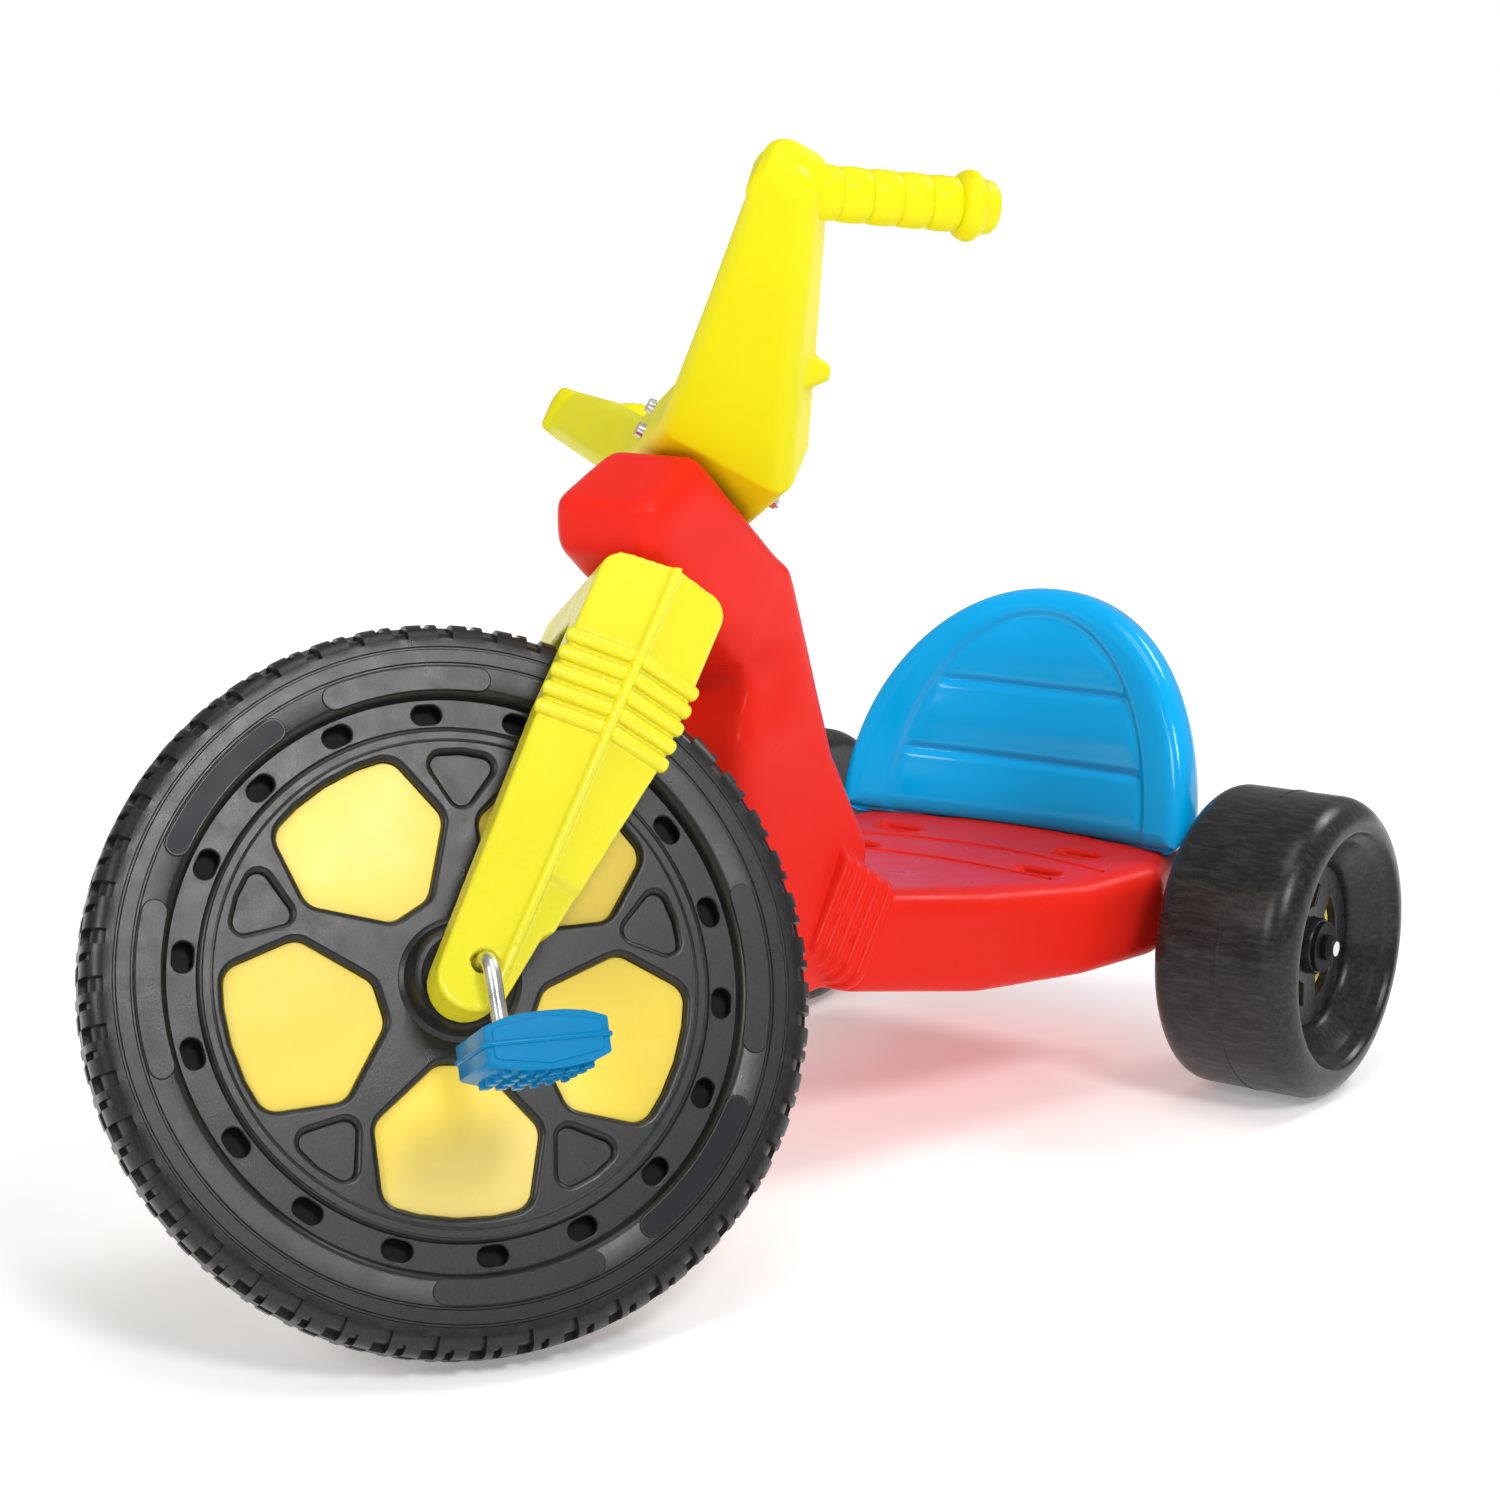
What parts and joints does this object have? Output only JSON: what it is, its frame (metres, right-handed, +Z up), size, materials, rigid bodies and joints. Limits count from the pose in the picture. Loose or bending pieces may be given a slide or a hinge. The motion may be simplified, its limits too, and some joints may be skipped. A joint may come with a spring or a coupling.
{
  "type": "low rider tricycle",
  "caption": "Child's low rider tricycle: big pedalled front wheel in a raked fork, vee handlebar, red moulded body with a seat pan, blue seat back and small wide rear wheels.",
  "frame": {"origin": "middle of the outer box on the floor", "axes": "+X to the front, +Y to the left of a seated rider, +Z up"},
  "size_m": [0.893, 0.514, 0.6429],
  "materials": {
    "red_shell": "satin moulded",
    "yellow_bar": "satin moulded",
    "yellow_fork": "satin moulded",
    "blue_seat": "gloss moulded",
    "black_front": "grained",
    "black_rear": "satin",
    "panel_yellow": "film",
    "zinc": "zinc plated",
    "bush_black": "matte"
  },
  "bodies": {
    "frame": {"body_shell": "red_shell", "head_bush_upper": "bush_black", "head_bush_lower": "bush_black", "rear_axle": "zinc", "axle_cap_left": "zinc", "axle_cap_right": "zinc", "axle_spacer_left": "bush_black", "axle_spacer_right": "bush_black"},
    "seat_back": {"seat": "blue_seat"},
    "steering": {"fork": "yellow_fork", "thrust_washer": "zinc", "handlebar": "yellow_bar", "bar_bolt_upper": "zinc", "bar_bolt_lower": "zinc", "bar_nut_upper": "zinc", "bar_nut_lower": "zinc"},
    "big_wheel": {"front_wheel": "black_front", "wheel_panels_left": "panel_yellow", "wheel_panels_right": "panel_yellow", "hub_plate_left": "yellow_fork", "hub_plate_right": "yellow_fork", "crank": "zinc"},
    "left_pedal": {"pedal_left": "blue_seat"},
    "right_pedal": {"pedal_right": "blue_seat"},
    "left_rear": {"rear_wheel_left": "black_rear", "rear_panels_left": "panel_yellow", "rear_bush_left": "bush_black"},
    "right_rear": {"rear_wheel_right": "black_rear", "rear_panels_right": "panel_yellow", "rear_bush_right": "bush_black"}
  },
  "joints": [
    {"name": "steering_turn", "type": "hinge", "parent": "frame", "child": "steering", "pos_m": [0.25922, 0, 0.18373], "axis": [-0.6428, 0, 0.766], "range_deg": [-2.5, 87.5]},
    {"name": "front_spin", "type": "hinge", "parent": "steering", "child": "big_wheel", "pos_m": [0.26543, -0.00743, 0.18894], "axis": [0.5175, 0.7373, 0.4343], "continuous": true},
    {"name": "left_pedal_spin", "type": "hinge", "parent": "big_wheel", "child": "left_pedal", "pos_m": [0.35173, 0.11684, 0.1975], "axis": [0.5175, 0.7373, 0.4343], "continuous": true},
    {"name": "right_pedal_spin", "type": "hinge", "parent": "big_wheel", "child": "right_pedal", "pos_m": [0.17914, -0.1317, 0.18038], "axis": [0.5175, 0.7373, 0.4343], "continuous": true},
    {"name": "left_rear_spin", "type": "hinge", "parent": "frame", "child": "left_rear", "pos_m": [-0.34378, 0.2075, 0.1026], "axis": [0, 1, 0], "continuous": true},
    {"name": "right_rear_spin", "type": "hinge", "parent": "frame", "child": "right_rear", "pos_m": [-0.34378, -0.2075, 0.1026], "axis": [0, 1, 0], "continuous": true},
    {"name": "seat_lift", "type": "slide", "parent": "frame", "child": "seat_back", "axis": [0, 0, 1], "range_m": [0, 0.04]}
  ]
}
